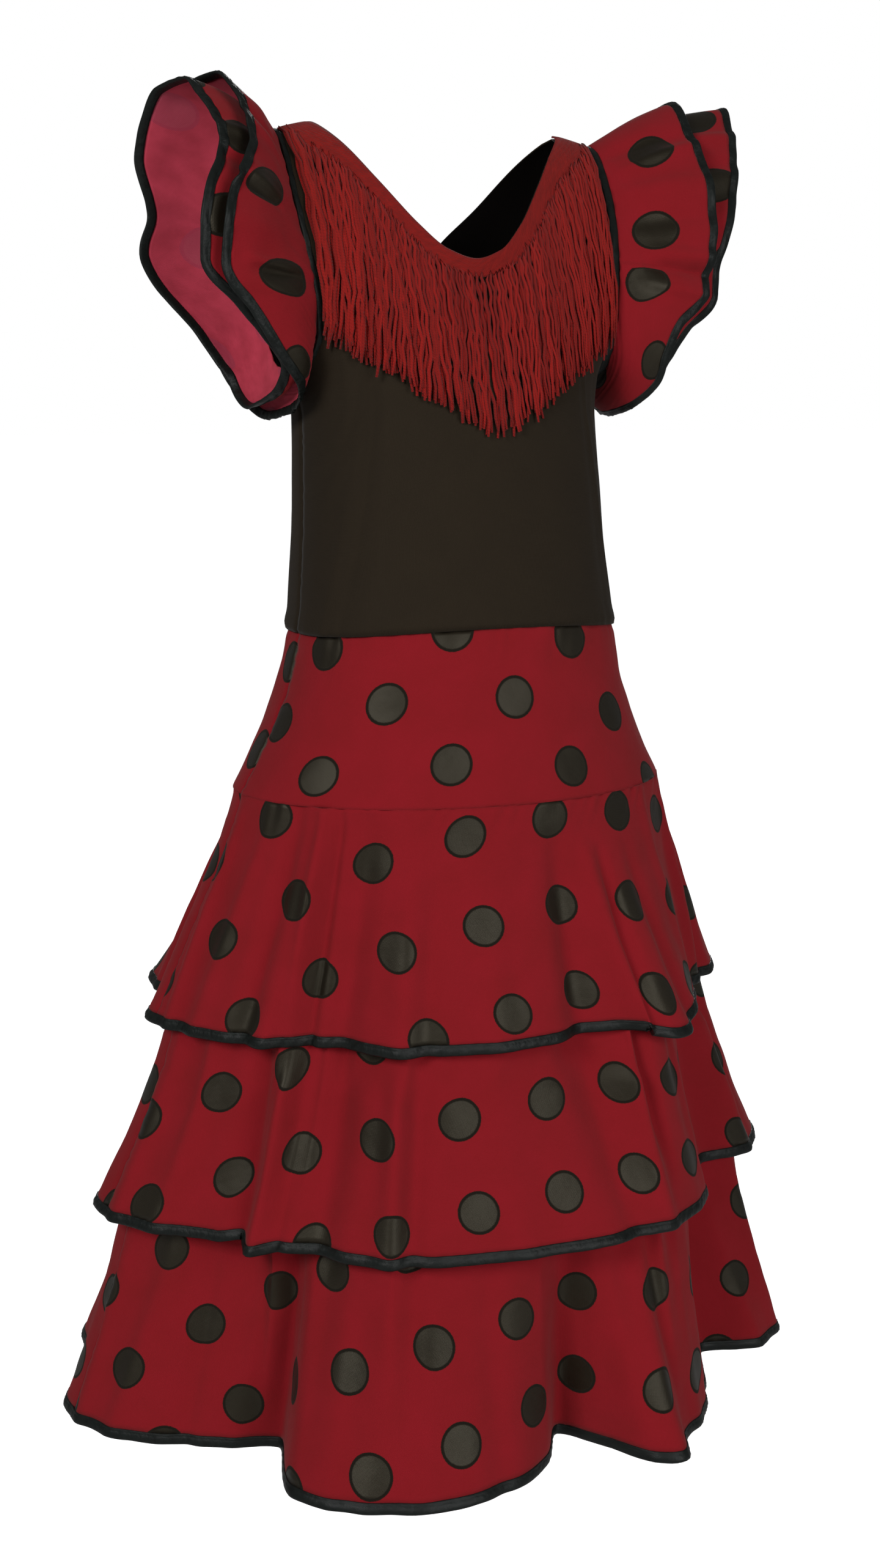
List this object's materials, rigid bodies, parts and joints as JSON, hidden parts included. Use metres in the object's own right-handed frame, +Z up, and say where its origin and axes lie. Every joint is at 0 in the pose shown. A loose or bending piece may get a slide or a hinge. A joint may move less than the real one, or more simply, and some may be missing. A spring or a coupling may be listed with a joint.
{
  "type": "flamenco dress",
  "caption": "Girl's flamenco dress, filled as worn: black V-neck bodice with a red fringe, frilled sleeves and a dotted red skirt of a hip yoke and flounces with black hems.",
  "frame": {"origin": "the middle of the shoulder line, level with the two neck points, where a wearer's shoulders hold the dress", "axes": "+Z up, the front of the dress faces -Y, +X is the wearer's left"},
  "size_m": [0.5374, 0.4426, 0.8801],
  "materials": {
    "jersey": "matt knitted stretch jersey with a faint sheen, black",
    "satin": "plain-woven red cloth with a soft sheen, printed with dark grey dots 28 mm across; the wrong side is paler and pinker",
    "fringe": "twisted brick-red yarn, matt, with a woven heading",
    "tape": "folded black binding tape with a slight sheen"
  },
  "bodies": {
    "root": {"bodice_front": "jersey", "bodice_back": "jersey", "neck_fringe": "fringe", "yoke_front": "satin", "yoke_back": "satin", "tier_1_front": "satin", "tier_1_back": "satin", "tier_1_tape": "tape", "tier_2_front": "satin", "tier_2_back": "satin", "tier_2_tape": "tape", "tier_3_front": "satin", "tier_3_back": "satin", "tier_3_tape": "tape", "armhole_piping_right": "tape", "frill_under_right": "satin", "frill_under_right_tape": "tape", "frill_upper_right": "satin", "frill_upper_right_tape": "tape", "armhole_piping_left": "tape", "frill_under_left": "satin", "frill_under_left_tape": "tape", "frill_upper_left": "satin", "frill_upper_left_tape": "tape"}
  },
  "joints": []
}
